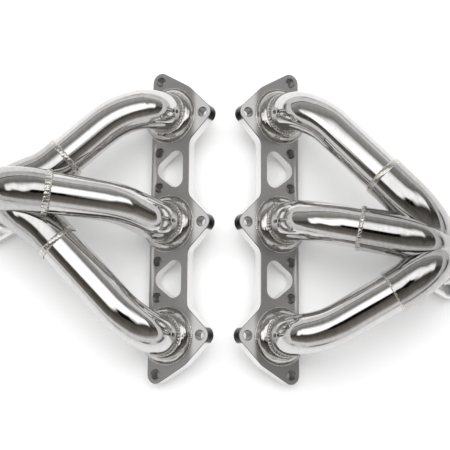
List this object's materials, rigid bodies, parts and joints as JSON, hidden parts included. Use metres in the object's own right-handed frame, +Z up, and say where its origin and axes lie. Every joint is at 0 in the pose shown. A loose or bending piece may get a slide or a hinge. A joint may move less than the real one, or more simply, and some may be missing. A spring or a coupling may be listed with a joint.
{
  "type": "racing exhaust system",
  "caption": "Pair of welded racing exhaust headers for a flat-six: lobed head flanges, mirror-polished primary tubes merging over a collector, and a bolted outlet flange.",
  "frame": {"origin": "middle of the bounding box, on the bench plane the headers lie on", "axes": "+X across the pair from the left header to the right one, +Y along the head flanges towards port 1, +Z up off the bench"},
  "size_m": [0.542, 0.3352, 0.117],
  "materials": {
    "polished_tube": "mirror-polished stainless steel",
    "machined_flange": "finely machined satin stainless steel with bright chamfers",
    "weld_bead": "rippled weld bead, left as welded"
  },
  "bodies": {
    "left_header": {"left_head_flange": "machined_flange", "left_port_collar_1": "polished_tube", "left_port_collar_2": "polished_tube", "left_port_collar_3": "polished_tube", "left_port_weld_1": "weld_bead", "left_port_weld_2": "weld_bead", "left_port_weld_3": "weld_bead", "left_collar_weld_1": "weld_bead", "left_collar_weld_2": "weld_bead", "left_collar_weld_3": "weld_bead", "left_primary_tube_1": "polished_tube", "left_primary_tube_2": "polished_tube", "left_primary_tube_3": "polished_tube", "left_slip_weld_1": "weld_bead", "left_slip_weld_2": "weld_bead", "left_slip_weld_3": "weld_bead", "left_collector_inlet_1": "polished_tube", "left_collector_inlet_2": "polished_tube", "left_collector_inlet_3": "polished_tube", "left_collector": "polished_tube", "left_outlet_pipe": "polished_tube", "left_outlet_flange": "machined_flange", "left_outlet_weld": "weld_bead", "left_collector_weld": "weld_bead"},
    "right_header": {"right_head_flange": "machined_flange", "right_port_collar_1": "polished_tube", "right_port_collar_2": "polished_tube", "right_port_collar_3": "polished_tube", "right_port_weld_1": "weld_bead", "right_port_weld_2": "weld_bead", "right_port_weld_3": "weld_bead", "right_collar_weld_1": "weld_bead", "right_collar_weld_2": "weld_bead", "right_collar_weld_3": "weld_bead", "right_primary_tube_1": "polished_tube", "right_primary_tube_2": "polished_tube", "right_primary_tube_3": "polished_tube", "right_slip_weld_1": "weld_bead", "right_slip_weld_2": "weld_bead", "right_slip_weld_3": "weld_bead", "right_collector_inlet_1": "polished_tube", "right_collector_inlet_2": "polished_tube", "right_collector_inlet_3": "polished_tube", "right_collector": "polished_tube", "right_outlet_pipe": "polished_tube", "right_outlet_flange": "machined_flange", "right_outlet_weld": "weld_bead", "right_collector_weld": "weld_bead"}
  },
  "joints": [
    {"name": "right_header_slide", "type": "slide", "parent": "left_header", "child": "right_header", "axis": [1, 0, 0], "range_m": [0, 0.15]}
  ]
}
